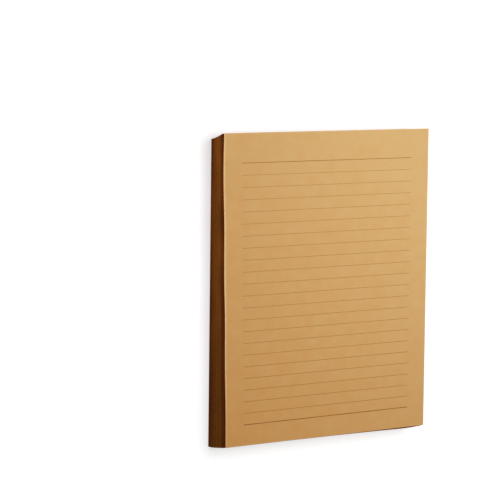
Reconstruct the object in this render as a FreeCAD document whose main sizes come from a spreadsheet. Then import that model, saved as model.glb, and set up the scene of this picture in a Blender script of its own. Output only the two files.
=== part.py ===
# A loose stack of ruled A5 kraft letter paper, lying on its last sheet.
# Millimetres. +X is the reader's right, +Y the head of the page, +Z up. The
# origin is at the middle of the bounding box, on the surface that the stack
# lies on. The stack has slipped: each sheet lies a little further to the left
# and to the foot than the one above it, and is turned a little more.
import FreeCAD, Part
import math
import os

SIZES = (
    # the paper
    ("sheet_width", 148),
    ("sheet_length", 210),
    ("paper_thickness", 0.13),
    # how many sheets there are: loose ones on top, and ledges of a few sheets below
    ("loose_count", 6),
    ("ledge_count", 36),
    ("ledge_sheet_count", 4),
    # how far the last sheet has slipped from the top one, and its turn in degrees
    ("side_slip", 3.9),
    ("foot_slip", 6),
    ("turn", 1.15),
    # how the loose sheets rise along their left edge
    ("corner_rise", 0.9),
    ("corner_reach", 24),
    ("wave_rise", 1.2),
    ("wave_length", 62),
    ("edge_gap", 0.05),
    # the ruling
    ("line_pitch", 8),
    ("head_margin", 19.6),
    ("foot_margin", 14.4),
    ("left_margin", 13),
    ("right_margin", 13),
    ("line_width", 0.3),
    ("border_line_width", 0.5),
    ("ink_thickness", 0.03),
    ("ink_clearance", 1),
)
POLES_PER_WAVE = 6
SURFACE_DEGREE = 3
UNEVEN_SHARE = 0.012
UNEVEN_WAVES = 7
FOOT_SHARE_POWER = 1.3
ROUNDING = 1e-6

# Expressions that several pieces share. The page and the last sheet reach as
# far from the origin on opposite sides, and that sets the page's place.
LEDGE_HEIGHT = "(Sizes.paper_thickness * Sizes.ledge_sheet_count)"
PILE_HEIGHT = f"({LEDGE_HEIGHT} * Sizes.ledge_count)"
STACK_HEIGHT = f"({PILE_HEIGHT} + Sizes.paper_thickness * Sizes.loose_count)"
TURNED_WIDTH = "(Sizes.sheet_width * cos(Sizes.turn) + Sizes.sheet_length * sin(Sizes.turn))"
TURNED_LENGTH = "(Sizes.sheet_length * cos(Sizes.turn) + Sizes.sheet_width * sin(Sizes.turn))"
PAGE_X = f"((Sizes.side_slip + ({TURNED_WIDTH} - Sizes.sheet_width) / 2) / 2)"
PAGE_Y = f"((Sizes.foot_slip + ({TURNED_LENGTH} - Sizes.sheet_length) / 2) / 2)"
FLAT_FROM = "(Sizes.left_margin - Sizes.ink_clearance)"
LINE_STEPS = (
    "((Sizes.sheet_length - Sizes.head_margin - Sizes.foot_margin) / Sizes.line_pitch)"
)

doc = FreeCAD.newDocument("letter_paper")
sizes = doc.addObject("Spreadsheet::Sheet", "Sizes")
for row, (alias, size) in enumerate(SIZES, start=1):
    sizes.set(f"A{row}", alias)
    sizes.set(f"B{row}", str(size))
    sizes.setAlias(f"B{row}", alias)
doc.recompute()


def number(expression):
    """The value of an expression of the sheet's cells."""
    return float(sizes.evalExpression(expression))


def side_share(depth):
    """The part of the sideways slip and of the turn that a sheet has.

    Depth runs from 0 at the page to 1 at the last sheet. The sheets slipped
    in uneven handfuls, so the share grows in waves.
    """
    return depth + UNEVEN_SHARE * math.sin(2 * math.pi * UNEVEN_WAVES * depth)


def foot_share(depth):
    """The part of the slip to the foot, which is a little larger between the upper sheets."""
    return 1 - max(0, 1 - side_share(depth)) ** FOOT_SHARE_POWER


def depth_of(height_above):
    """The depth of a sheet with this much paper above it, as a share of the last ledge's."""
    return height_above / number(f"({STACK_HEIGHT} - {LEDGE_HEIGHT})")


def add_ledge(index):
    """A few sheets that slipped as one, as a box turned about its middle."""
    above = number("Sizes.paper_thickness * Sizes.loose_count")
    depth = depth_of(above + index * number(LEDGE_HEIGHT))
    aside, down = side_share(depth), foot_share(depth)
    ledge = doc.addObject("Part::Box", f"ledge_{index + 1:02d}")
    ledge.setExpression("Length", "Sizes.sheet_width")
    ledge.setExpression("Width", "Sizes.sheet_length")
    ledge.setExpression("Height", LEDGE_HEIGHT)
    corner = (
        f"{PAGE_X} - Sizes.side_slip * {aside} - Sizes.sheet_width / 2",
        f"{PAGE_Y} - Sizes.foot_slip * {down} - Sizes.sheet_length / 2",
        f"{PILE_HEIGHT} - {LEDGE_HEIGHT} * {index + 1}",
    )
    angle = f"rotation(vector(0; 0; 1); -Sizes.turn * {aside})"
    middle = "vector(Sizes.sheet_width / 2; Sizes.sheet_length / 2; 0)"
    place = f"placement(vector({'; '.join(corner)}); {angle}; {middle})"
    ledge.setExpression("Placement", place)
    return ledge


def add_lower_sheets():
    """All the sheets under the loose ones, as one solid with ledges down its sides."""
    ledges = [add_ledge(index) for index in range(int(number("Sizes.ledge_count")))]
    pile = doc.addObject("Part::MultiFuse", "lower_sheets")
    pile.Shapes = ledges
    return pile


def edge_rise(from_head, order):
    """How high a loose sheet's left edge stands, at a distance from the page's head.

    The edge waves, less and less towards the foot, and turns up at the head
    corner. Each sheet further down rises less, by an even share.
    """
    share = 1 - order / number("Sizes.loose_count")
    gaps = number("Sizes.edge_gap") * (number("Sizes.loose_count") - order)
    wave = (1 + math.cos(2 * math.pi * from_head / number("Sizes.wave_length"))) / 2
    fading = 1 - from_head / number("2 * Sizes.sheet_length")
    corner = max(0, 1 - from_head / number("Sizes.corner_reach")) ** 2
    waving = number("Sizes.wave_rise") * wave * fading
    return share * (waving + number("Sizes.corner_rise") * corner) + gaps


def spline_knots(pole_count):
    """Even knots, with their multiplicities, that reach the first and the last pole."""
    spans = pole_count - SURFACE_DEGREE
    inner = [1] * (spans - 1)
    return list(range(spans + 1)), [SURFACE_DEGREE + 1, *inner, SURFACE_DEGREE + 1]


def rising_strip(width, order, head_lag):
    """The strip of a loose sheet along its left edge, which rises from the flat part."""
    length, thickness = number("Sizes.sheet_length"), number("Sizes.paper_thickness")
    waves = length / number("Sizes.wave_length")
    steps = max(SURFACE_DEGREE, math.ceil(POLES_PER_WAVE * waves))
    poles = []
    for column, rise_share in enumerate((1, 1 / 3, 0, 0)):
        x = width * column / SURFACE_DEGREE
        poles.append([])
        for step in range(steps + 1):
            y = length * step / steps
            z = rise_share * edge_rise(length - y + head_lag, order)
            poles[-1].append(FreeCAD.Vector(x, y, z))
    knots_x, counts_x = spline_knots(len(poles))
    knots_y, counts_y = spline_knots(len(poles[0]))
    surface = Part.BSplineSurface()
    surface.buildFromPolesMultsKnots(
        poles, counts_x, counts_y, knots_x, knots_y, False, False, SURFACE_DEGREE, SURFACE_DEGREE
    )
    under = surface.toShape()
    over = under.translated(FreeCAD.Vector(0, 0, thickness))
    faces = [under, over]
    for low, high in zip(under.Edges, over.Edges):
        ends = zip(low.Vertexes, high.Vertexes)
        risers = [Part.makeLine(bottom.Point, top.Point) for bottom, top in ends]
        faces.append(Part.Face(Part.Wire(Part.__sortEdges__([low, high, *risers]))))
    shell = Part.Shell(faces)
    shell.sewShape()
    return Part.Solid(shell)


def add_loose_sheet(order):
    """One of the sheets on top, the page being number 0."""
    width, length = number("Sizes.sheet_width"), number("Sizes.sheet_length")
    thickness = number("Sizes.paper_thickness")
    depth = depth_of(order * thickness)
    aside = number("Sizes.side_slip") * side_share(depth)
    down = number("Sizes.foot_slip") * foot_share(depth)
    strip = number(FLAT_FROM) + aside
    flat = Part.makeBox(width - strip, length, thickness, FreeCAD.Vector(strip, 0, 0))
    sheet = doc.addObject("Part::Feature", "top_sheet" if order == 0 else f"loose_sheet_{order + 1}")
    sheet.Shape = rising_strip(strip, order, down).fuse(flat).removeSplitter()
    sheet.Placement.Base = FreeCAD.Vector(
        number(PAGE_X) - aside - width / 2,
        number(PAGE_Y) - down - length / 2,
        number(STACK_HEIGHT) - (order + 1) * thickness,
    )
    return sheet


def add_line(index, width):
    """One printed line of the ruling, as a low strip of ink on the page."""
    line = doc.addObject("Part::Box", f"line_{index + 1:02d}")
    line.setExpression("Length", "Sizes.sheet_width - Sizes.left_margin - Sizes.right_margin")
    line.setExpression("Width", width)
    line.setExpression("Height", "Sizes.ink_thickness")
    from_head = f"(Sizes.head_margin + Sizes.line_pitch * {index})"
    line.setExpression(
        "Placement.Base.x", f"{PAGE_X} - Sizes.sheet_width / 2 + Sizes.left_margin"
    )
    line.setExpression(
        "Placement.Base.y", f"{PAGE_Y} + Sizes.sheet_length / 2 - {from_head} - {width} / 2"
    )
    line.setExpression("Placement.Base.z", STACK_HEIGHT)
    return line


def add_lines(label, indexes, width):
    """Some lines of the ruling, together."""
    lines = doc.addObject("Part::Compound", label)
    lines.Links = [add_line(index, width) for index in indexes]
    return lines


last_line = math.floor(number(LINE_STEPS) + ROUNDING)
subparts = [
    add_lower_sheets(),
    *[add_loose_sheet(order) for order in range(int(number("Sizes.loose_count")))],
    add_lines("writing_lines", range(1, last_line), "Sizes.line_width"),
    add_lines("border_lines", (0, last_line), "Sizes.border_line_width"),
]
doc.recompute()

for item in doc.Objects:
    if {"Invalid", "Error"} & set(item.State):
        raise RuntimeError(f"{item.Label} failed: {item.State}")
for subpart in subparts:
    if subpart.Shape.isNull() or not subpart.Shape.isValid():
        raise RuntimeError(f"{subpart.Label} has no valid shape")

os.makedirs("parts", exist_ok=True)
for subpart in subparts:
    subpart.Shape.exportStep(f"parts/{subpart.Label}.step")
    box = subpart.Shape.BoundBox
    print(
        f"{subpart.Label}: {len(subpart.Shape.Solids)} solids, "
        f"{subpart.Shape.Volume:.2f} mm3, {box.XMin:.3f}..{box.XMax:.3f}, "
        f"{box.YMin:.3f}..{box.YMax:.3f}, {box.ZMin:.3f}..{box.ZMax:.3f}"
    )
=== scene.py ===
import math

import bpy
import numpy as np
from mathutils import Matrix, Quaternion, Vector


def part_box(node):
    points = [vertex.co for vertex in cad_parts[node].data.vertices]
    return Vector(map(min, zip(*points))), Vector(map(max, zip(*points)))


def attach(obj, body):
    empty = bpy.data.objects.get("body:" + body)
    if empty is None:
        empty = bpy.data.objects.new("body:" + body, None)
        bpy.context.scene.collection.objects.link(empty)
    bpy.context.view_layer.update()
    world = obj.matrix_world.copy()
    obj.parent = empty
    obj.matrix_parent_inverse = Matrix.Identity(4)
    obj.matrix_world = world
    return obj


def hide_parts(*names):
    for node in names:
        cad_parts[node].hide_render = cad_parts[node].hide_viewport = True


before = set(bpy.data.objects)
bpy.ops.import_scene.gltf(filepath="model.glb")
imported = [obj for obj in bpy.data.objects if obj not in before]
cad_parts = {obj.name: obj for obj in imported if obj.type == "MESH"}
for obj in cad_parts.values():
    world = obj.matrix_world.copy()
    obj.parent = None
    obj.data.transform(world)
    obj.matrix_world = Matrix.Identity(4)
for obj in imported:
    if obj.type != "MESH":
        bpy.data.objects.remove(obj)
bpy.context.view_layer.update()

bl_info = {
    "name": "Letter Paper",
    "version": (1, 0, 0),
    "blender": (4, 5, 0),
    "location": "3D View > Sidebar > Letter Paper",
    "description": "Builds a slipped stack of ruled kraft letter paper, sheet by sheet",
    "category": "Object",
}

MM = 0.001
MAP_NAME = "OFBake"
PAGE_LOW, PAGE_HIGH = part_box("top_sheet")
PILE_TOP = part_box("lower_sheets")[1].z
LINES_LOW, LINES_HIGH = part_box("writing_lines")
UNDER_PAGE = sorted(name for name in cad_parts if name.startswith("loose_sheet_"))
LOOSE_NODES = ["top_sheet", *UNDER_PAGE]
PAGE_LEVEL = LINES_LOW.z
THICKNESS = PAGE_LEVEL - PAGE_LOW.z


# ---------------------------------------------------------------- settings


def length(name, description, default, **options):
    """A setting that is a length in metres."""
    return bpy.props.FloatProperty(
        name=name, description=description, default=default, unit="LENGTH", precision=5, **options
    )


def angle(name, description, degrees):
    """A setting that is an angle."""
    return bpy.props.FloatProperty(
        name=name, description=description, default=math.radians(degrees), subtype="ANGLE"
    )


def count(name, description, default):
    """A setting that is a whole number of things."""
    return bpy.props.IntProperty(name=name, description=description, default=default, min=1)


def share(name, description, default):
    """A setting from 0 to 1."""
    return bpy.props.FloatProperty(
        name=name, description=description, default=default, min=0, max=1, subtype="FACTOR"
    )


def colour(name, description, default):
    """A setting that is a colour, as linear red, green and blue."""
    return bpy.props.FloatVectorProperty(
        name=name, description=description, default=default, min=0, max=1, subtype="COLOR"
    )


def place(name, description, default):
    """A setting that is a point or an offset in metres."""
    return bpy.props.FloatVectorProperty(
        name=name, description=description, default=default, unit="LENGTH", subtype="TRANSLATION"
    )


class StackSizes(bpy.types.PropertyGroup):
    """Sizes of the sheets, and how far they have slipped."""

    sheet_width: length("Sheet width", "Width of every sheet", PAGE_HIGH.x - PAGE_LOW.x)
    sheet_length: length("Sheet length", "Length of every sheet", PAGE_HIGH.y - PAGE_LOW.y)
    thickness: length("Thickness", "Thickness of a sheet with the air under it", THICKNESS)
    air: share("Air", "Part of the thickness that is air between two sheets", 0.08)
    pile_count: count("Lower sheets", "Sheets under the loose ones", round(PILE_TOP / THICKNESS))
    last_ledge: count("Last ledge", "Lowest sheets, which slipped as one", 4)
    side_slip: length("Side slip", "How far the last sheet lies to the left of the page", 3.9 * MM)
    foot_slip: length("Foot slip", "How far the last sheet lies to the foot of the page", 6 * MM)
    foot_power: bpy.props.FloatProperty(
        name="Foot power", description="Above 1, the upper sheets slipped more to the foot",
        default=1.3, min=1,
    )
    turn: angle("Turn", "How far the last sheet is turned from the page", 1.15)
    handful_shift: length("Handful shift", "How far a few sheets at a time stand out", 0.16 * MM)
    handful: count("Handful", "How many sheets stand out together, about", 7)
    sheet_shift: length("Sheet shift", "How far a single sheet stands out", 0.05 * MM)
    ripple: length("Ripple", "How far the lower sheets bow up and down", 0.07 * MM)
    seed: count("Seed", "Picks another accidental slip of the sheets", 4)


class EdgeRise(bpy.types.PropertyGroup):
    """How the loose sheets on top rise along their left edge."""

    flat_from: length("Flat from", "Where the sheets lie flat, from the page's left edge", 12 * MM)
    corner_rise: length("Corner rise", "How much more the head corner stands up", 0.9 * MM)
    corner_reach: length("Corner reach", "How far that reaches from the head", 24 * MM)
    wave_rise: length("Wave rise", "Height of the edge's waves at the head", 1.2 * MM)
    wave_length: length("Wave length", "Length of the edge's waves", 62 * MM)
    edge_gap: length("Edge gap", "Least gap between two loose edges", 0.05 * MM)
    flutter: share("Flutter", "How uneven the waves are", 0.12)


class RulingSizes(bpy.types.PropertyGroup):
    """The printed lines."""

    line_count: count("Writing lines", "Thin lines between the two heavy ones", 21)
    line_width: length("Line width", "Width of a writing line", 0.3 * MM)
    border_width: length("Border width", "Width of the first and the last line", 0.5 * MM)
    ink_height: length("Ink height", "Height of the ink on the paper", LINES_HIGH.z - LINES_LOW.z)
    ragged: length("Ragged", "How far the ink runs along the fibres", 0.05 * MM)


class PaperFinish(bpy.types.PropertyGroup):
    """Colours of the paper and the ink."""

    # The paper's colour near the head is its lit colour. Towards the foot it deepens to the deep
    # colour as painted light falloff, and the pulp's mottle also goes towards that colour.
    paper: colour("Paper", "The paper's colour near the head", (0.711, 0.457, 0.19))
    mottled_and_shaded_paper: colour("Deep paper", "The paper's colour near the foot", (0.688, 0.348, 0.109))
    cut_edge: colour("Cut edge", "The sheets' cut edges", (0.465, 0.163, 0.025))
    dim_edge: colour("Dim edge", "The cut edges where little light gets in", (0.46, 0.1, 0.016))
    fleck: colour("Fleck", "The dark shives in the paper", (0.25, 0.12, 0.04))
    # A painted highlight along the page's rim, partly wear.
    rim_highlight_and_wear: colour("Pale rim", "The rubbed rim of the sheets", (0.84, 0.55, 0.27))
    # The ink and the border ink darken from the head to the foot as painted light falloff, like the
    # paper.
    ink: colour("Ink", "The writing lines near the head", (0.45, 0.232, 0.052))
    foot_ink_in_shade: colour("Deep ink", "The writing lines near the foot", (0.355, 0.135, 0.005))
    border_ink: colour("Border ink", "The heavy line at the head", (0.38, 0.17, 0.036))
    foot_border_ink_in_shade: colour("Deep border ink", "The heavy line at the foot", (0.26, 0.07, 0.001))


class StageSettings(bpy.types.PropertyGroup):
    """Camera, lights and floor."""

    lens: bpy.props.FloatProperty(
        name="Lens", description="Focal length", default=85.8, unit="CAMERA"
    )
    camera_place: place("Camera", "From the page's middle", (-0.3031, 0.1458, 0.7004))
    camera_aim: place("Aim", "Where the camera looks, from the page's middle", (-0.0629, 0.0351, 0))
    camera_roll: angle("Roll", "Turn of the camera about its view", -0.3)
    key_place: place("Key light", "From the page's middle", (0.1, 0.125, 0.4))
    key_power: bpy.props.FloatProperty(
        name="Key power", description="Power of the key light", default=1.35, unit="POWER"
    )
    key_size: length("Key size", "Side of the square key light", 0.3)
    sky: bpy.props.FloatProperty(
        name="Sky", description="Level of the light all round", default=0.3
    )
    floor_size: length("Floor size", "Side of the square floor", 4)
    floor_bounce: share("Floor bounce", "How much light the floor gives back", 0.35)
    floor_glow: share("Floor glow", "How far the floor by the stack is lifted to white", 0.5)
    white_from: length("White from", "Where the floor is wholly white, from the stack", 0.36)


class LetterPaperSettings(bpy.types.PropertyGroup):
    """All settings of the stack."""

    stack: bpy.props.PointerProperty(type=StackSizes)
    edge: bpy.props.PointerProperty(type=EdgeRise)
    ruling: bpy.props.PointerProperty(type=RulingSizes)
    finish: bpy.props.PointerProperty(type=PaperFinish)
    stage: bpy.props.PointerProperty(type=StageSettings)


# ---------------------------------------------------------------- node trees


class Number:
    """A number in a node tree. Reckoning with it adds Math nodes."""

    def __init__(self, tree, socket):
        self.tree = tree
        self.socket = socket

    def math(self, operation, *others):
        return reckon(self.tree, operation, self, *others)

    def __add__(self, other):
        return self.math("ADD", other)

    def __sub__(self, other):
        return self.math("SUBTRACT", other)

    def __rsub__(self, other):
        return reckon(self.tree, "SUBTRACT", other, self)

    def __mul__(self, other):
        return self.math("MULTIPLY", other)

    def __truediv__(self, other):
        return self.math("DIVIDE", other)

    __radd__ = __add__
    __rmul__ = __mul__


def feed(tree, socket, value):
    """Links a number or a socket to an input, or sets the input to a plain value."""
    if isinstance(value, Number):
        value = value.socket
    if isinstance(value, bpy.types.NodeSocket):
        tree.links.new(value, socket)
    else:
        socket.default_value = value


def reckon(tree, operation, *values):
    """The result of a Math node."""
    node = tree.nodes.new("ShaderNodeMath")
    node.operation = operation
    for socket, value in zip(node.inputs, values):
        feed(tree, socket, value)
    return Number(tree, node.outputs[0])


def named(sockets, name):
    """The socket of that name which is in use."""
    return next(socket for socket in sockets if socket.name == name and socket.enabled)


def put(tree, kind, inputs=None, **settings):
    """Adds a node with its settings, and feeds its inputs."""
    node = tree.nodes.new(kind)
    for name, setting in settings.items():
        setattr(node, name, setting)
    for name, value in (inputs or {}).items():
        feed(tree, named(node.inputs, name), value)
    return node


def number(tree, kind, output=0, inputs=None, **settings):
    """The number that a new node puts out."""
    return Number(tree, put(tree, kind, inputs, **settings).outputs[output])


def vector(tree, x, y, z):
    """A vector made of three numbers."""
    return put(tree, "ShaderNodeCombineXYZ", {"X": x, "Y": y, "Z": z}).outputs[0]


def parts(tree, socket):
    """The three numbers of a vector."""
    node = put(tree, "ShaderNodeSeparateXYZ", {"Vector": socket})
    return [Number(tree, output) for output in node.outputs]


def scaled(tree, socket, factors):
    """A vector multiplied by three factors."""
    node = put(tree, "ShaderNodeVectorMath", operation="MULTIPLY")
    feed(tree, node.inputs[0], socket)
    feed(tree, node.inputs[1], factors)
    return node.outputs[0]


def spread(tree, value, low, high, to_low=0.0, to_high=1.0, **settings):
    """A number's way from low to high, as a clamped number from to_low to to_high."""
    inputs = {
        "Value": value, "From Min": low, "From Max": high, "To Min": to_low, "To Max": to_high
    }
    return number(tree, "ShaderNodeMapRange", inputs=inputs, **settings)


NOISE_LOW, NOISE_HIGH = 0.3, 0.7


def noise(tree, point, sizes, detail=2.0, roughness=0.5):
    """Smooth noise, mostly from NOISE_LOW to NOISE_HIGH, with its sizes along x, y and z."""
    counted = scaled(tree, point, tuple(1 / size for size in sizes))
    inputs = {"Vector": counted, "Scale": 1.0, "Detail": detail, "Roughness": roughness}
    return number(tree, "ShaderNodeTexNoise", inputs=inputs)


def full_noise(tree, point, sizes, detail=2.0, roughness=0.5):
    """Smooth noise stretched to reach from 0 to 1."""
    return spread(tree, noise(tree, point, sizes, detail, roughness), NOISE_LOW, NOISE_HIGH)


def noise_along(tree, distance):
    """Smooth noise along a number whose unit is the noise's size."""
    inputs = {"W": distance, "Scale": 1.0, "Detail": 2.0}
    return number(tree, "ShaderNodeTexNoise", inputs=inputs, noise_dimensions="1D")


def random_parts(tree, identity, seed):
    """Three random numbers from 0 to 1 for each whole number."""
    inputs = {"ID": identity, "Seed": seed}
    node = put(tree, "FunctionNodeRandomValue", inputs, data_type="FLOAT_VECTOR")
    return parts(tree, named(node.outputs, "Value"))


def mixed(tree, factor, first, second):
    """Two colours mixed."""
    node = put(tree, "ShaderNodeMix", data_type="RGBA")
    feed(tree, named(node.inputs, "Factor"), factor)
    feed(tree, named(node.inputs, "A"), first)
    feed(tree, named(node.inputs, "B"), second)
    return named(node.outputs, "Result")


def dimmed(tree, colour_socket, factor):
    """A colour multiplied by a number."""
    node = put(tree, "ShaderNodeVectorMath", operation="SCALE")
    feed(tree, node.inputs[0], colour_socket)
    feed(tree, named(node.inputs, "Scale"), factor)
    return node.outputs[0]


def hump(part):
    """0 where the part is 0 or 1, and 1 where it is a half."""
    return 4 * part * (1 - part)


def either_way(part):
    """A number from 0 to 1 as one from -1 to 1."""
    return (part - 0.5) * 2


def new_group(kind, name, inputs, outputs):
    """A node group with those sockets, and what comes in and where it goes out, by name."""
    tree = bpy.data.node_groups.new(name, kind)
    for label, socket_type in inputs.items():
        tree.interface.new_socket(name=label, in_out="INPUT", socket_type=socket_type)
    for label, socket_type in outputs.items():
        tree.interface.new_socket(name=label, in_out="OUTPUT", socket_type=socket_type)
    source = tree.nodes.new("NodeGroupInput")
    given = {
        label: Number(tree, source.outputs[label])
        if socket_type in ("NodeSocketFloat", "NodeSocketInt")
        else source.outputs[label]
        for label, socket_type in inputs.items()
    }
    return tree, given, tree.nodes.new("NodeGroupOutput")


def coated(tree, geometry, material, selection=True):
    """The geometry with a material on the selected faces."""
    inputs = {"Geometry": geometry, "Selection": selection, "Material": material}
    return put(tree, "GeometryNodeSetMaterial", inputs).outputs[0]


def shifted(tree, geometry, offset):
    """The geometry with each point moved by its offset."""
    inputs = {"Geometry": geometry, "Offset": offset}
    return put(tree, "GeometryNodeSetPosition", inputs).outputs[0]


def stored(tree, geometry, name, value, data_type="FLOAT", domain="POINT"):
    """The geometry with a named attribute."""
    inputs = {"Geometry": geometry, "Name": name, "Value": value}
    return put(
        tree, "GeometryNodeStoreNamedAttribute", inputs, data_type=data_type, domain=domain
    ).outputs[0]


def repeated(tree, piece, count_given, position, rotation=(0.0, 0.0, 0.0)):
    """A piece set on that many points, as instances."""
    inputs = {"Count": count_given, "Position": position}
    points = put(tree, "GeometryNodePoints", inputs).outputs[0]
    inputs = {"Points": points, "Instance": piece, "Rotation": rotation}
    return put(tree, "GeometryNodeInstanceOnPoints", inputs).outputs[0]


def realized(tree, instances):
    """Instances made real."""
    return put(tree, "GeometryNodeRealizeInstances", {"Geometry": instances}).outputs[0]


# A face whose normal rises less than this is a cut edge.
EDGE_NORMAL_RISE = 0.5


def sheet_box(tree, given, columns, rows):
    """A flat sheet's box in rows and columns, with paper on its faces and cut edges round it."""
    size = vector(tree, given["Sheet width"], given["Sheet length"], given["Sheet body"])
    inputs = {"Size": size, "Vertices X": columns, "Vertices Y": rows, "Vertices Z": 2}
    box = put(tree, "GeometryNodeMeshCube", inputs).outputs[0]
    _, _, rise = parts(tree, put(tree, "GeometryNodeInputNormal").outputs[0])
    cut = rise.math("ABSOLUTE").math("LESS_THAN", EDGE_NORMAL_RISE)
    papered = coated(tree, box, given["Paper"])
    return coated(tree, papered, given["Cut edge"], cut)


SHEET_INPUTS = {
    "Sheet width": "NodeSocketFloat",
    "Sheet length": "NodeSocketFloat",
    "Sheet body": "NodeSocketFloat",
    "Paper": "NodeSocketMaterial",
    "Cut edge": "NodeSocketMaterial",
    "Seed": "NodeSocketInt",
}
PILE_INPUTS = {
    **SHEET_INPUTS,
    "Page middle": "NodeSocketVector",
    "Pitch": "NodeSocketFloat",
    "Sheet count": "NodeSocketInt",
    "Sheets above": "NodeSocketInt",
    "Last ledge": "NodeSocketInt",
    "Side slip": "NodeSocketFloat",
    "Foot slip": "NodeSocketFloat",
    "Foot power": "NodeSocketFloat",
    "Turn": "NodeSocketFloat",
    "Handful": "NodeSocketInt",
    "Handful shift": "NodeSocketFloat",
    "Sheet shift": "NodeSocketFloat",
    "Ripple": "NodeSocketFloat",
}
PILE_COLUMNS, PILE_ROWS = 6, 31
RIPPLE_SIZE = (70 * MM, 48 * MM, 6 * MM)
# Noise seldom nears its ends, so the sheets' bow is the noise's swing times this.
RIPPLE_GAIN = 2
# By how many handfuls noise can move the borders between them, and how far apart two seeds
# read that noise.
HANDFUL_UNEVENNESS = 4
SEED_STEP = 10
# How much of a sheet's tone it shares with its handful, and how much is its own.
HANDFUL_TONE, OWN_TONE = 0.9, 0.5
# The shade next to the page and next to the floor, against the depth in the stack, which runs
# from 0 at the page to 1 at the last ledge.
PAGE_SHADE = {"low": 0.05, "high": 0.3, "to_low": 1.1, "to_high": 0.0}
FLOOR_SHADE = {"low": 0.7, "high": 0.86, "to_low": 0.0, "to_high": 0.8}


def pile_tree():
    """The lower sheets, each slipped and turned a little more than the one above it."""
    outputs = {"Geometry": "NodeSocketGeometry"}
    tree, given, result = new_group("GeometryNodeTree", "Slipped pile", PILE_INPUTS, outputs)
    sheet = sheet_box(tree, given, PILE_COLUMNS, PILE_ROWS)
    position = put(tree, "GeometryNodeInputPosition").outputs[0]
    sheet = stored(tree, sheet, "sheet_place", position, "FLOAT_VECTOR")

    index = number(tree, "GeometryNodeInputIndex")
    most = given["Sheet count"] + given["Sheets above"] - given["Last ledge"]
    depth = ((index + given["Sheets above"]) / most).math("MINIMUM", 1)
    foot_share = 1 - (1 - depth).math("POWER", given["Foot power"])
    looseness = hump(depth)
    steps = index / given["Handful"]
    wandering = noise_along(tree, steps + given["Seed"] * SEED_STEP)
    handful = (steps + wandering * HANDFUL_UNEVENNESS).math("FLOOR")
    group_x, group_y, group_tone = random_parts(tree, handful, given["Seed"] + 1)
    single_x, single_y, single_tone = random_parts(tree, index, given["Seed"])

    def shift(group, single):
        handful_shift = either_way(group) * given["Handful shift"]
        return (handful_shift + either_way(single) * given["Sheet shift"]) * looseness

    middle = parts(tree, given["Page middle"])
    x = middle[0] - given["Side slip"] * depth + shift(group_x, single_x)
    y = middle[1] - given["Foot slip"] * foot_share + shift(group_y, single_y)
    z = (given["Sheet count"] - index - 0.5) * given["Pitch"]
    turned = vector(tree, 0.0, 0.0, given["Turn"] * depth * -1)
    sheets = repeated(tree, sheet, given["Sheet count"], vector(tree, x, y, z), turned)
    tone = group_tone * HANDFUL_TONE + single_tone * OWN_TONE
    shade = spread(tree, depth, **PAGE_SHADE) + spread(tree, depth, **FLOOR_SHADE)
    sheets = stored(tree, sheets, "sheet_tone", tone, domain="INSTANCE")
    sheets = stored(tree, sheets, "sheet_shade", shade, domain="INSTANCE")

    level = parts(tree, position)[2] / (given["Sheet count"] * given["Pitch"])
    bow = either_way(noise(tree, position, RIPPLE_SIZE, detail=1.0)) * RIPPLE_GAIN
    rise = bow * given["Ripple"] * hump(level)
    moved = shifted(tree, realized(tree, sheets), vector(tree, 0.0, 0.0, rise))
    feed(tree, result.inputs[0], moved)
    return tree


LOOSE_INPUTS = {
    **SHEET_INPUTS,
    "Middle": "NodeSocketVector",
    "Page head": "NodeSocketFloat",
    "Flat from": "NodeSocketFloat",
    "Order": "NodeSocketInt",
    "Loose count": "NodeSocketInt",
    "Wave rise": "NodeSocketFloat",
    "Wave length": "NodeSocketFloat",
    "Corner rise": "NodeSocketFloat",
    "Corner reach": "NodeSocketFloat",
    "Edge gap": "NodeSocketFloat",
    "Flutter": "NodeSocketFloat",
}
LOOSE_COLUMNS, LOOSE_ROWS = 43, 127
# A power, above 1 so that the columns lie closer together near the left edge.
CROWDING = 1.8
FLUTTER_SIZE = 15 * MM
# The loose sheets' cut edges are alike.
LOOSE_TONE, LOOSE_SHADE = 0.7, 1.0


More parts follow.
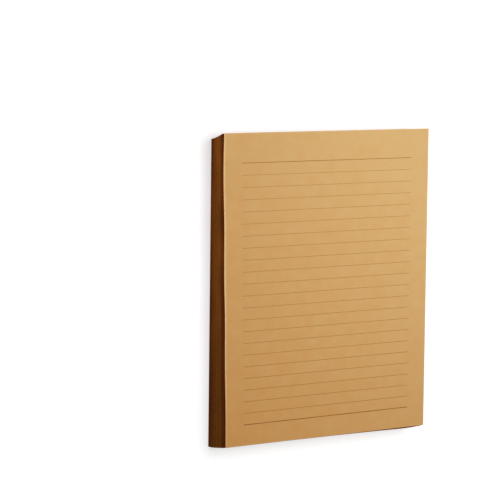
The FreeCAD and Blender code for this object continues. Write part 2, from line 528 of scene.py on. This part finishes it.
def loose_tree():
    """One loose sheet, whose left edge rises in waves and turns up at the head corner."""
    outputs = {"Geometry": "NodeSocketGeometry"}
    tree, given, result = new_group("GeometryNodeTree", "Loose sheet", LOOSE_INPUTS, outputs)
    sheet = sheet_box(tree, given, LOOSE_COLUMNS, LOOSE_ROWS)
    flat_x, flat_y, flat_z = parts(tree, put(tree, "GeometryNodeInputPosition").outputs[0])
    width = given["Sheet width"]
    across = (flat_x / width + 0.5).math("MAXIMUM", 0).math("POWER", CROWDING) * width
    inputs = {"Geometry": sheet, "Position": vector(tree, across - width / 2, flat_y, flat_z)}
    crowded = put(tree, "GeometryNodeSetPosition", inputs).outputs[0]
    position = put(tree, "GeometryNodeInputPosition").outputs[0]
    crowded = stored(tree, crowded, "sheet_place", position, "FLOAT_VECTOR")
    # The page alone gets the pale rim, a painted highlight and partly wear, and none of the painted
    # shade on the ledges.
    crowded = stored(tree, crowded, "rubbed_and_highlit", given["Order"].math("LESS_THAN", 0.5))
    crowded = stored(tree, crowded, "sheet_tone", LOOSE_TONE)
    crowded = stored(tree, crowded, "sheet_shade", LOOSE_SHADE)

    near_x, near_y, _ = parts(tree, position)
    middle = parts(tree, given["Middle"])
    from_head = given["Page head"] - middle[1] - near_y
    left = middle[0] - width / 2
    unbent = ((near_x + width / 2) / (given["Flat from"] - left)).math("MINIMUM", 1)
    lift_share = (1 - unbent).math("POWER", 2)
    order_share = 1 - given["Order"] / given["Loose count"]
    gaps = given["Edge gap"] * (given["Loose count"] - given["Order"])
    wave = ((from_head / given["Wave length"] * math.tau).math("COSINE") + 1) / 2
    fading = 1 - from_head / (2 * given["Sheet length"])
    corner = (1 - from_head / given["Corner reach"]).math("MAXIMUM", 0).math("POWER", 2)
    uneven = noise_along(tree, from_head / FLUTTER_SIZE + given["Seed"])
    rise = given["Wave rise"] * wave * fading + given["Corner rise"] * corner
    rise = order_share * rise * (1 - given["Flutter"] * uneven) + gaps
    lifted = vector(tree, middle[0], middle[1], middle[2] + rise * lift_share)
    feed(tree, result.inputs[0], shifted(tree, crowded, lifted))
    return tree


RULING_INPUTS = {
    "Line count": "NodeSocketInt",
    "Pitch": "NodeSocketFloat",
    "Line length": "NodeSocketFloat",
    "Line width": "NodeSocketFloat",
    "Ink height": "NodeSocketFloat",
    "First line": "NodeSocketVector",
    "Ragged": "NodeSocketFloat",
    "Ink": "NodeSocketMaterial",
}
INK_COLUMNS = 184
RAG_SIZE = (1.4 * MM, 0.8 * MM, MM)


def ruling_tree():
    """Evenly spaced lines of ink, whose sides follow the paper's fibres."""
    outputs = {"Geometry": "NodeSocketGeometry"}
    tree, given, result = new_group("GeometryNodeTree", "Ruling", RULING_INPUTS, outputs)
    size = vector(tree, given["Line length"], given["Line width"], given["Ink height"])
    inputs = {"Size": size, "Vertices X": INK_COLUMNS, "Vertices Y": 2, "Vertices Z": 2}
    line = put(tree, "GeometryNodeMeshCube", inputs).outputs[0]
    position = put(tree, "GeometryNodeInputPosition").outputs[0]
    line = stored(tree, line, "ink_side", parts(tree, position)[1].math("SIGN"))
    first = parts(tree, given["First line"])
    index = number(tree, "GeometryNodeInputIndex")
    at = vector(tree, first[0], first[1] - index * given["Pitch"], first[2])
    lines = realized(tree, repeated(tree, line, given["Line count"], at))
    side = number(
        tree, "GeometryNodeInputNamedAttribute", inputs={"Name": "ink_side"}, data_type="FLOAT"
    )
    rags = either_way(noise(tree, position, RAG_SIZE, detail=3.0)) * given["Ragged"]
    ragged = shifted(tree, lines, vector(tree, 0.0, rags * side, 0.0))
    feed(tree, result.inputs[0], coated(tree, ragged, given["Ink"]))
    return tree


def grown(name, tree, values):
    """The plain mesh that a Geometry Nodes tree makes with those values, as a new piece."""
    piece = bpy.data.objects.new(name, bpy.data.meshes.new(name))
    bpy.context.scene.collection.objects.link(piece)
    modifier = piece.modifiers.new("Shape", "NODES")
    modifier.node_group = tree
    sockets = [item for item in tree.interface.items_tree if item.in_out == "INPUT"]
    for socket in sockets:
        modifier[socket.identifier] = values[socket.name]
    depsgraph = bpy.context.evaluated_depsgraph_get()
    mesh = bpy.data.meshes.new_from_object(
        piece.evaluated_get(depsgraph), preserve_all_data_layers=True, depsgraph=depsgraph
    )
    if not mesh.polygons:
        raise RuntimeError(f"{name} has no faces")
    piece.modifiers.remove(modifier)
    piece.data = mesh
    mesh.name = name
    return piece


SHARP_ANGLE = math.radians(40)


def finished(piece, slot, *nodes):
    """The piece with crisp edges, on its body and in place of those solids."""
    piece.data.shade_smooth()
    piece.data.set_sharp_from_angle(angle=SHARP_ANGLE)
    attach(piece, "root")
    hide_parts(*nodes)
    return piece


# Where each view of the sheets lies in their map: the axis that it is seen along, whether it
# is seen from the axis's low end, and the left, foot, width and height of its place.
PAGE_VIEWS = {
    (2, False): (0, 0, 1, 0.86),
    (2, True): (0, 0.86, 1, 0.06),
    (0, False): (0, 0.92, 1, 0.02),
    (0, True): (0, 0.94, 1, 0.02),
    (1, False): (0, 0.96, 1, 0.02),
    (1, True): (0, 0.98, 1, 0.02),
}
PILE_VIEWS = {
    (2, False): (0, 0, 0.5, 0.24),
    (2, True): (0.5, 0, 0.5, 0.24),
    (0, False): (0, 0.24, 0.5, 0.38),
    (0, True): (0.5, 0.24, 0.5, 0.38),
    (1, False): (0, 0.62, 0.5, 0.38),
    (1, True): (0.5, 0.62, 0.5, 0.38),
}
VIEW_MARGIN = 0.003


def numbers_of(items, name, width, kind=np.float32):
    """A named value of a mesh's items, as rows of that width."""
    found = np.zeros(len(items) * width, kind)
    items.foreach_get(name, found)
    return found.reshape(-1, width)


def lay_map(mesh, views, stacked):
    """Lays the six views of sheets in one map.

    All sheets share the views from above and below. In a stack, each has its own height in
    the views from the sides.
    """
    places = numbers_of(mesh.attributes["sheet_place"].data, "vector", 3)
    if stacked:
        places[:, 2] = numbers_of(mesh.vertices, "co", 3)[:, 2]
    places = (places - places.min(0)) / np.ptp(places, axis=0)
    normals = numbers_of(mesh.polygons, "normal", 3)
    totals = numbers_of(mesh.polygons, "loop_total", 1, np.int32)[:, 0]
    corners = numbers_of(mesh.loops, "vertex_index", 1, np.int32)[:, 0]
    axis = np.abs(normals).argmax(1)
    back = np.take_along_axis(normals, axis[:, None], 1)[:, 0] < 0
    corner_axis, corner_back = np.repeat(axis, totals), np.repeat(back, totals)
    laid = np.zeros((len(corners), 2), np.float32)
    for (side, from_low), (left, foot, width, height) in views.items():
        chosen = (corner_axis == side) & (corner_back == from_low)
        across = {0: (1, 2), 1: (0, 2), 2: (0, 1)}[side]
        seen = places[corners[chosen]][:, across]
        low = np.array((left, foot)) + VIEW_MARGIN
        laid[chosen] = low + seen * (np.array((width, height)) - 2 * VIEW_MARGIN)
    mesh.uv_layers.new(name=MAP_NAME).uv.foreach_set("vector", laid.ravel())


# ---------------------------------------------------------------- finishes


CLOUD_SIZE = (9 * MM, 9 * MM, 9 * MM)
FIBRE_SIZE = (1.8 * MM, 0.16 * MM, 0.16 * MM)
FIBRE_ANGLES = (8, 67, 128)
FIBRE_SHARPNESS = 9
FIBRE_MIDDLE = 0.4
# How far clouds and fibres go towards the deep colour, and their shares of the relief.
CLOUD_DEPTH, FIBRE_DEPTH = 0.35, 0.22
CLOUD_HEIGHT, FIBRE_HEIGHT = 0.4, 0.6
# The shives: one to a cell of this size, and none in this share of the cells. Each is solid up
# to its core and gone at its rim, as shares of the cell.
FLECK_CELL = (3.2 * MM, 7.11 * MM, 1)
BARE_CELLS = 0.55
FLECK_CORE, FLECK_RIM = 0.03, 0.06
FLECK_STRENGTH = 0.4


def fibre_group():
    """Kraft paper close up: cloudy pulp, fine fibres and sparse dark shives.

    Depth, from 0 to 1, is how far the pulp goes from the colour Paper to the colour Deep.
    """
    inputs = {
        "Vector": "NodeSocketVector",
        "Paper": "NodeSocketColor",
        "Deep": "NodeSocketColor",
        "Fleck": "NodeSocketColor",
        "Depth": "NodeSocketFloat",
    }
    outputs = {"Color": "NodeSocketColor", "Height": "NodeSocketFloat"}
    tree, given, result = new_group("ShaderNodeTree", "Kraft fibres", inputs, outputs)
    clouds = full_noise(tree, given["Vector"], CLOUD_SIZE, detail=5.0, roughness=0.6)
    fibres = None
    for degrees in FIBRE_ANGLES:
        inputs = {"Vector": given["Vector"], "Angle": math.radians(degrees)}
        turned = put(tree, "ShaderNodeVectorRotate", inputs, rotation_type="Z_AXIS").outputs[0]
        off_middle = (noise(tree, turned, FIBRE_SIZE) - 0.5).math("ABSOLUTE")
        ridge = (1 - off_middle * FIBRE_SHARPNESS).math("MAXIMUM", 0)
        fibres = ridge if fibres is None else fibres.math("MAXIMUM", ridge)
    in_cells = scaled(tree, given["Vector"], tuple(1 / size for size in FLECK_CELL))
    inputs = {"Vector": in_cells, "Scale": 1.0, "Randomness": 1.0}
    cells = put(tree, "ShaderNodeTexVoronoi", inputs)
    sparse = parts(tree, cells.outputs["Color"])[0].math("GREATER_THAN", BARE_CELLS)
    from_point = Number(tree, cells.outputs["Distance"])
    flecks = spread(tree, from_point, FLECK_CORE, FLECK_RIM, FLECK_STRENGTH, 0.0) * sparse
    uneven = (clouds - 0.5) * CLOUD_DEPTH + (fibres - FIBRE_MIDDLE) * FIBRE_DEPTH
    deepness = (given["Depth"] + uneven).math("MAXIMUM", 0).math("MINIMUM", 1)
    pulp = mixed(tree, deepness, given["Paper"], given["Deep"])
    feed(tree, result.inputs["Color"], mixed(tree, flecks, pulp, given["Fleck"]))
    feed(tree, result.inputs["Height"], fibres * FIBRE_HEIGHT + clouds * CLOUD_HEIGHT)
    return tree


# The streaks change from sheet to sheet: their third size counts steps of tone, not metres.
STREAK_SIZE = (55 * MM, 55 * MM, 1)
TONE_STEPS = 12
KNIFE_SIZE = (1.1 * MM, 1.1 * MM, 26 * MM)
PATCH_SIZE = (38 * MM, 38 * MM, 14 * MM)
# How bright a cut edge is, and what tone, streaks, knife marks and patches add to that.
EDGE_LEVEL, TONE_LEVEL = 0.53, 0.45
STREAK_LEVEL, KNIFE_LEVEL, PATCH_LEVEL = 0.3, 0.1, 0.34
# How the brightness falls off along the side, and at which tones the edge looks dim.
FALL = {"low": 0.05, "high": 0.9, "to_low": 1.224, "to_high": 0.708}
DIM_TONES = {"low": -0.1, "high": 0.6, "to_low": 1.0, "to_high": 0.0}


def edge_group():
    """The sides of cut sheets: a tone for each sheet, streaks, soft patches and knife marks.

    Depth, from 0 to 1, is how far the light has fallen off.
    """
    inputs = {
        "Vector": "NodeSocketVector",
        "Tone": "NodeSocketFloat",
        "Depth": "NodeSocketFloat",
        "Color": "NodeSocketColor",
        "Dim color": "NodeSocketColor",
    }
    outputs = {"Color": "NodeSocketColor", "Height": "NodeSocketFloat"}
    tree, given, result = new_group("ShaderNodeTree", "Cut edges", inputs, outputs)
    x, y, _ = parts(tree, given["Vector"])
    along_sheet = vector(tree, x, y, given["Tone"] * TONE_STEPS)
    streaks = full_noise(tree, along_sheet, STREAK_SIZE, detail=4.0, roughness=0.65)
    marks = full_noise(tree, given["Vector"], KNIFE_SIZE, detail=3.0, roughness=0.6)
    patches = full_noise(tree, given["Vector"], PATCH_SIZE, detail=1.0)
    level = EDGE_LEVEL + given["Tone"] * TONE_LEVEL + streaks * STREAK_LEVEL
    level = level + marks * KNIFE_LEVEL + (patches - 0.5) * PATCH_LEVEL
    fall = spread(tree, given["Depth"], **FALL, interpolation_type="SMOOTHSTEP")
    dimness = spread(tree, given["Tone"], **DIM_TONES)
    edge = mixed(tree, dimness, given["Color"], given["Dim color"])
    feed(tree, result.inputs["Color"], dimmed(tree, edge, level * fall))
    feed(tree, result.inputs["Height"], (streaks + marks) / 2)
    return tree


def new_material(name, roughness, specular):
    """A material with its tree, its Principled shader and its object coordinates."""
    material = bpy.data.materials.new(name)
    material.use_nodes = True
    tree = material.node_tree
    shader = tree.nodes["Principled BSDF"]
    shader.inputs["Roughness"].default_value = roughness
    shader.inputs["Specular IOR Level"].default_value = specular
    return material, tree, shader, put(tree, "ShaderNodeTexCoord").outputs["Object"]


def opaque(rgb):
    """A colour setting as the four numbers of a colour socket."""
    return (*rgb, 1.0)


def use_group(tree, group, inputs):
    """A node group placed in a material."""
    return put(tree, "ShaderNodeGroup", inputs, node_tree=group)


def bump(tree, shader, height, distance, strength):
    """Gives a shader its relief."""
    node = put(
        tree, "ShaderNodeBump", {"Height": height, "Distance": distance, "Strength": strength}
    )
    feed(tree, shader.inputs["Normal"], node.outputs[0])


# How far round the corners the left side's shade reaches, and the Depth of the other sides.
SHADE_REACH = 30 * MM
EVEN_DEPTH = 0.45


def attribute(tree, name):
    """A number that the mesh carries."""
    return number(tree, "ShaderNodeAttribute", "Fac", attribute_name=name)


def own_place(tree):
    """Where a point lies on its own sheet, from the sheet's middle, as three numbers."""
    found = put(tree, "ShaderNodeAttribute", attribute_name="sheet_place")
    return parts(tree, found.outputs["Vector"])


def way_to_foot(tree, y, stack):
    """0 at the page's head, growing to 1 at its foot."""
    half = stack.sheet_length / 2
    return spread(tree, y, half, -half)


def edge_colours(tree, coordinates, finish, stack, group):
    """The cut edges' group placed in a material, with each sheet's own tone.

    The left side, which the raised edge overhangs, is shaded near the page and the floor.
    """
    from_left = own_place(tree)[0] + stack.sheet_width / 2
    near_left = spread(tree, from_left, 0.0, SHADE_REACH, 1.0, 0.0)
    tone = attribute(tree, "sheet_tone") - attribute(tree, "sheet_shade") * near_left
    to_foot = way_to_foot(tree, parts(tree, coordinates)[1], stack)
    inputs = {
        "Vector": coordinates,
        "Tone": tone,
        "Depth": EVEN_DEPTH + (to_foot - EVEN_DEPTH) * near_left,
        "Color": opaque(finish.cut_edge),
        "Dim color": opaque(finish.dim_edge),
    }
    return use_group(tree, group, inputs)


# Painted light falloff: the paper deepens by its place between the head, 0.5, and the foot,
# -0.5, plus a share of its place between right and left. It starts and ends deepening at these
# sums.
LEFT_SHARE = 0.7
PAINTED_FALLOFF = {"low": 0.7, "high": -0.9}
# Painted shade: the paper is a little darker near its raised left edge.
LEFT_SHADE_WIDTH, LEFT_SHADE_LEVEL = 18 * MM, 0.98
# Between which distances from a sheet's edge the page's pale rim, a painted highlight and partly
# wear, fades out, and on the other sheets the painted shade on their exposed ledges, in the cut
# edges' colour.
RIM_FADE = (0.22 * MM, 1.1 * MM)
LEFT_RIM_FADE = (0.88 * MM, 1.43 * MM)
LEDGE_SHADE_FADE = (0.44 * MM, 1.1 * MM)
RIM_STRENGTH = 0.45
# The pale rim, a painted highlight and partly wear, is uneven, and this much of it is left at the
# foot.
WEAR_AND_HIGHLIGHT_SIZE = (2.5 * MM, 2.5 * MM, 2.5 * MM)
WEAR_AND_HIGHLIGHT = {"low": 0.35, "high": 0.6, "to_low": 0.6}
RIM_AT_FOOT = 0.3


def paper_material(finish, stack, group, edge_colouring):
    """Kraft paper, deeper to the foot by painted light falloff, paler at the rim by painted
    highlight.
    """
    material, tree, shader, coordinates = new_material(
        "fibrous_paper", roughness=0.85, specular=0.12
    )
    x, y, _ = parts(tree, coordinates)
    # Painted light falloff: the paper deepens towards the foot and the left.
    falloff_place = y / stack.sheet_length + x / stack.sheet_width * LEFT_SHARE
    inputs = {
        "Vector": coordinates,
        "Paper": opaque(finish.paper),
        "Deep": opaque(finish.mottled_and_shaded_paper),
        "Fleck": opaque(finish.fleck),
        "Depth": spread(tree, falloff_place, **PAINTED_FALLOFF),
    }
    fibres = use_group(tree, group, inputs)
    own_x, own_y, _ = own_place(tree)
    from_left = own_x + stack.sheet_width / 2
    # Painted shade near the sheet's left edge.
    left_shade = spread(tree, from_left, 0.0, LEFT_SHADE_WIDTH, LEFT_SHADE_LEVEL, 1.0)
    left_shaded = dimmed(tree, fibres.outputs["Color"], left_shade)

    from_side = stack.sheet_width / 2 - own_x.math("ABSOLUTE")
    from_end = stack.sheet_length / 2 - own_y.math("ABSOLUTE")
    from_rim = from_side.math("MINIMUM", from_end)
    rubbed_and_highlit = attribute(tree, "rubbed_and_highlit")
    # Painted shade on the exposed ledges of the sheets under the page, in the cut edges' colour.
    ledge_shade = spread(tree, from_rim, *LEDGE_SHADE_FADE, 1.0, 0.0) * (1 - rubbed_and_highlit)
    ledge_shade_colour = edge_colours(tree, coordinates, finish, stack, edge_colouring).outputs["Color"]
    ledge_shaded = mixed(tree, ledge_shade, left_shaded, ledge_shade_colour)

    # The page's pale rim: a painted highlight, widest at the raised left edge, and partly wear.
    rim = spread(tree, from_rim, *RIM_FADE, RIM_STRENGTH, 0.0)
    left_rim = spread(tree, from_left, *LEFT_RIM_FADE, 1.0, 0.0)
    worn_highlight = spread(tree, noise(tree, coordinates, WEAR_AND_HIGHLIGHT_SIZE, detail=3.0), **WEAR_AND_HIGHLIGHT)
    fading = spread(tree, y, 0.0, -stack.sheet_length / 2, 1.0, RIM_AT_FOOT)
    paled = rim.math("MAXIMUM", left_rim) * worn_highlight * rubbed_and_highlit * fading
    pale = mixed(tree, paled, ledge_shaded, opaque(finish.rim_highlight_and_wear))
    feed(tree, shader.inputs["Base Color"], pale)
    bump(tree, shader, fibres.outputs["Height"], distance=0.02 * MM, strength=0.5)
    return material


def edge_material(finish, stack, group):
    """The darker cut sides of the sheets."""
    material, tree, shader, coordinates = new_material("cut_edge", roughness=0.95, specular=0.0)
    edges = edge_colours(tree, coordinates, finish, stack, group)
    feed(tree, shader.inputs["Base Color"], edges.outputs["Color"])
    bump(tree, shader, edges.outputs["Height"], distance=0.04 * MM, strength=0.5)
    return material


# How much of the paper shows through the ink at the page's head.
BARE_FIBRES = 0.12


def ink_material(name, ink, foot_ink_in_shade, finish, stack, group):
    """Printed ink that has sunk unevenly into the paper, darker to the foot by painted light
    falloff.
    """
    material, tree, shader, coordinates = new_material(name, roughness=0.8, specular=0.1)
    to_foot = way_to_foot(tree, parts(tree, coordinates)[1], stack)
    inputs = {
        "Vector": coordinates,
        "Paper": mixed(tree, to_foot, opaque(ink), opaque(foot_ink_in_shade)),
        "Deep": opaque(finish.paper),
        "Fleck": opaque(finish.fleck),
        "Depth": BARE_FIBRES * (1 - to_foot),
    }
    fibres = use_group(tree, group, inputs)
    feed(tree, shader.inputs["Base Color"], fibres.outputs["Color"])
    bump(tree, shader, fibres.outputs["Height"], distance=0.01 * MM, strength=0.4)
    return material


def shared_finishes(settings):
    """The paper, cut edge and ink materials, made once."""
    names = ("fibrous_paper", "cut_edge", "writing_ink", "border_ink")
    if names[0] not in bpy.data.materials:
        finish, fibres, edges = settings.finish, fibre_group(), edge_group()
        paper_material(finish, settings.stack, fibres, edges)
        edge_material(finish, settings.stack, edges)
        for name, ink, foot_ink_in_shade in (
            ("writing_ink", finish.ink, finish.foot_ink_in_shade),
            ("border_ink", finish.border_ink, finish.foot_border_ink_in_shade),
        ):
            ink_material(name, ink, foot_ink_in_shade, finish, settings.stack, fibres)
    return [bpy.data.materials[name] for name in names]


# ---------------------------------------------------------------- pieces


def sheet_values(stack, paper, cut_edge):
    """What every tree of sheets is given."""
    return {
        "Sheet width": stack.sheet_width,
        "Sheet length": stack.sheet_length,
        "Sheet body": stack.thickness * (1 - stack.air),
        "Paper": paper,
        "Cut edge": cut_edge,
        "Seed": stack.seed,
    }


def page_middle():
    """The middle of the page, on its upper face."""
    middle = (PAGE_LOW + PAGE_HIGH) / 2
    middle.z = PAGE_LEVEL
    return middle


class LETTER_PAPER_OT_sheet_pile(bpy.types.Operator):
    """Make the lower sheets, one by one"""

    bl_idname = "letter_paper.sheet_pile"
    bl_label = "Lower Sheets"

    def execute(self, context):
        settings = context.scene.letter_paper
        stack = settings.stack
        paper, cut_edge, *_ = shared_finishes(settings)
        values = {
            **sheet_values(stack, paper, cut_edge),
            "Page middle": page_middle(),
            "Pitch": stack.thickness,
            "Sheet count": stack.pile_count,
            "Sheets above": len(LOOSE_NODES),
            "Last ledge": stack.last_ledge,
            "Side slip": stack.side_slip,
            "Foot slip": stack.foot_slip,
            "Foot power": stack.foot_power,
            "Turn": stack.turn,
            "Handful": stack.handful,
            "Handful shift": stack.handful_shift,
            "Sheet shift": stack.sheet_shift,
            "Ripple": stack.ripple,
        }
        pile = grown("sheet_pile", pile_tree(), values)
        lay_map(pile.data, PILE_VIEWS, stacked=True)
        finished(pile, "kraft_paper", "lower_sheets")
        return {"FINISHED"}


class LETTER_PAPER_OT_loose_sheets(bpy.types.Operator):
    """Make the page and the loose sheets under it"""

    bl_idname = "letter_paper.loose_sheets"
    bl_label = "Loose Sheets"

    def execute(self, context):
        settings = context.scene.letter_paper
        stack, edge = settings.stack, settings.edge
        paper, cut_edge, *_ = shared_finishes(settings)
        tree = loose_tree()
        for order, node in enumerate(LOOSE_NODES):
            low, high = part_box(node)
            middle = (low + high) / 2
            middle.z = PAGE_LEVEL - (order + (1 - stack.air) / 2) * stack.thickness
            values = {
                **sheet_values(stack, paper, cut_edge),
                "Middle": middle,
                "Page head": PAGE_HIGH.y,
                "Flat from": PAGE_LOW.x + edge.flat_from,
                "Order": order,
                "Loose count": len(LOOSE_NODES),
                "Wave rise": edge.wave_rise,
                "Wave length": edge.wave_length,
                "Corner rise": edge.corner_rise,
                "Corner reach": edge.corner_reach,
                "Edge gap": edge.edge_gap,
                "Flutter": edge.flutter,
            }
            name = "ruled_page" if order == 0 else f"sheet_{order + 1}"
            sheet = grown(name, tree, values)
            lay_map(sheet.data, PAGE_VIEWS, stacked=False)
            finished(sheet, "kraft_paper", node)
        return {"FINISHED"}


class LETTER_PAPER_OT_ruling(bpy.types.Operator):
    """Print the lines on the page"""

    bl_idname = "letter_paper.ruling"
    bl_label = "Ruling"

    def execute(self, context):
        settings = context.scene.letter_paper
        ruling = settings.ruling
        *_, writing_ink, border_ink = shared_finishes(settings)
        tree = ruling_tree()
        groups = (
            ("writing_ruling", "writing_lines", ruling.line_count, ruling.line_width, writing_ink),
            ("border_ruling", "border_lines", 2, ruling.border_width, border_ink),
        )
        for name, node, line_count, width, ink in groups:
            low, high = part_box(node)
            middle = (low + high) / 2
            middle.y = high.y - width / 2
            values = {
                "Line count": line_count,
                "Pitch": (high.y - low.y - width) / (line_count - 1),
                "Line length": high.x - low.x,
                "Line width": width,
                "Ink height": ruling.ink_height,
                "First line": middle,
                "Ragged": ruling.ragged,
                "Ink": ink,
            }
            finished(grown(name, tree, values), "brown_ink", node)
        return {"FINISHED"}


# ---------------------------------------------------------------- stage


FLOOR_WHITE = (0.85, 0.85, 0.85, 1.0)
# The floor lies this far below the stack, so that their faces don't meet.
FLOOR_GAP = 0.02 * MM


def seen_directly(tree):
    """1 for what the camera sees, straight or through gloss and glass, and otherwise 0."""
    path = put(tree, "ShaderNodeLightPath")
    camera, glossy, transmission = (
        Number(tree, path.outputs[name])
        for name in ("Is Camera Ray", "Is Glossy Ray", "Is Transmission Ray")
    )
    return camera.math("MAXIMUM", glossy).math("MAXIMUM", transmission)


def floor_material(stage):
    """A pale floor that looks white where it is lit, and keeps its shadows."""
    material = bpy.data.materials.new("white_floor")
    material.use_nodes = True
    tree = material.node_tree
    tree.nodes.remove(tree.nodes["Principled BSDF"])
    bounce = opaque((stage.floor_bounce,) * 3)
    plain = put(tree, "ShaderNodeBsdfDiffuse", {"Color": bounce}).outputs[0]
    white = put(tree, "ShaderNodeBsdfDiffuse", {"Color": FLOOR_WHITE}).outputs[0]
    middle = put(tree, "ShaderNodeTexCoord").outputs["Object"]
    away = number(tree, "ShaderNodeVectorMath", 1, {"Vector": middle}, operation="LENGTH")
    level = spread(tree, away, stage.white_from / 2, stage.white_from, stage.floor_glow, 1.0)
    glow = put(tree, "ShaderNodeEmission", {"Strength": level}).outputs[0]
    lifted = put(tree, "ShaderNodeAddShader")
    feed(tree, lifted.inputs[0], white)
    feed(tree, lifted.inputs[1], glow)
    both = put(tree, "ShaderNodeMixShader", {"Fac": seen_directly(tree)})
    feed(tree, both.inputs[1], plain)
    feed(tree, both.inputs[2], lifted.outputs[0])
    feed(tree, tree.nodes["Material Output"].inputs["Surface"], both.outputs[0])
    return material


def add_floor(stage):
    """The floor that the stack lies on."""
    half = stage.floor_size / 2
    corners = ((-half, -half), (half, -half), (half, half), (-half, half))
    mesh = bpy.data.meshes.new("floor")
    mesh.from_pydata([(x, y, -FLOOR_GAP) for x, y in corners], [], [(0, 1, 2, 3)])
    mesh.materials.append(floor_material(stage))
    floor = bpy.data.objects.new("floor", mesh)
    bpy.context.scene.collection.objects.link(floor)


def add_sky(stage):
    """Even light all round, with a white background."""
    world = bpy.data.worlds.new("studio")
    world.use_nodes = True
    tree = world.node_tree
    background = tree.nodes["Background"]
    background.inputs["Color"].default_value = (1, 1, 1, 1)
    seen = seen_directly(tree)
    feed(tree, background.inputs["Strength"], seen + (1 - seen) * stage.sky)
    bpy.context.scene.world = world


def add_key_light(stage):
    """A soft lamp over the head and right of the page."""
    lamp = bpy.data.lights.new("key", "AREA")
    lamp.size = stage.key_size
    lamp.energy = stage.key_power
    light = bpy.data.objects.new("key", lamp)
    light.visible_camera = False
    bpy.context.scene.collection.objects.link(light)
    offset = Vector(stage.key_place)
    light.location = page_middle() + offset
    light.rotation_euler = (-offset).to_track_quat("-Z", "Y").to_euler()


def add_camera(stage):
    """The camera, upright along the page's length."""
    camera = bpy.data.objects.new("camera", bpy.data.cameras.new("camera"))
    bpy.context.scene.collection.objects.link(camera)
    camera.data.lens = stage.lens
    back = (Vector(stage.camera_place) - Vector(stage.camera_aim)).normalized()
    right = Vector((0, 1, 0)).cross(back).normalized()
    turned = Matrix((right, back.cross(right), back)).transposed().to_quaternion()
    camera.rotation_mode = "QUATERNION"
    camera.rotation_quaternion = Quaternion(back, stage.camera_roll) @ turned
    camera.location = page_middle() + Vector(stage.camera_place)
    bpy.context.scene.camera = camera


class LETTER_PAPER_OT_stage(bpy.types.Operator):
    """Set up the floor, the light and the camera"""

    bl_idname = "letter_paper.stage"
    bl_label = "Stage"

    def execute(self, context):
        stage = context.scene.letter_paper.stage
        add_floor(stage)
        add_sky(stage)
        add_key_light(stage)
        add_camera(stage)
        context.scene.view_settings.view_transform = "Standard"
        return {"FINISHED"}


# ---------------------------------------------------------------- add-on


STEPS = (
    LETTER_PAPER_OT_stage,
    LETTER_PAPER_OT_sheet_pile,
    LETTER_PAPER_OT_loose_sheets,
    LETTER_PAPER_OT_ruling,
)


class LETTER_PAPER_PT_steps(bpy.types.Panel):
    """The steps that make the stack, and their settings"""

    bl_label = "Letter Paper"
    bl_space_type = "VIEW_3D"
    bl_region_type = "UI"
    bl_category = "Letter Paper"

    def draw(self, context):
        for step in STEPS:
            self.layout.operator(step.bl_idname)
        settings = context.scene.letter_paper
        for group_name in settings.bl_rna.properties.keys():
            group = getattr(settings, group_name)
            if isinstance(group, bpy.types.PropertyGroup):
                box = self.layout.box()
                for name in group.__annotations__:
                    box.prop(group, name)


CLASSES = (
    StackSizes,
    EdgeRise,
    RulingSizes,
    PaperFinish,
    StageSettings,
    LetterPaperSettings,
    *STEPS,
    LETTER_PAPER_PT_steps,
)


def register():
    """Adds the settings, the operators and the panel."""
    for cls in CLASSES:
        bpy.utils.register_class(cls)
    bpy.types.Scene.letter_paper = bpy.props.PointerProperty(type=LetterPaperSettings)


def unregister():
    """Takes them away again."""
    del bpy.types.Scene.letter_paper
    for cls in reversed(CLASSES):
        bpy.utils.unregister_class(cls)


def main():
    """Builds the whole stack."""
    register()
    bpy.ops.letter_paper.stage()
    bpy.ops.letter_paper.sheet_pile()
    bpy.ops.letter_paper.loose_sheets()
    bpy.ops.letter_paper.ruling()


if __name__ == "__main__":
    main()
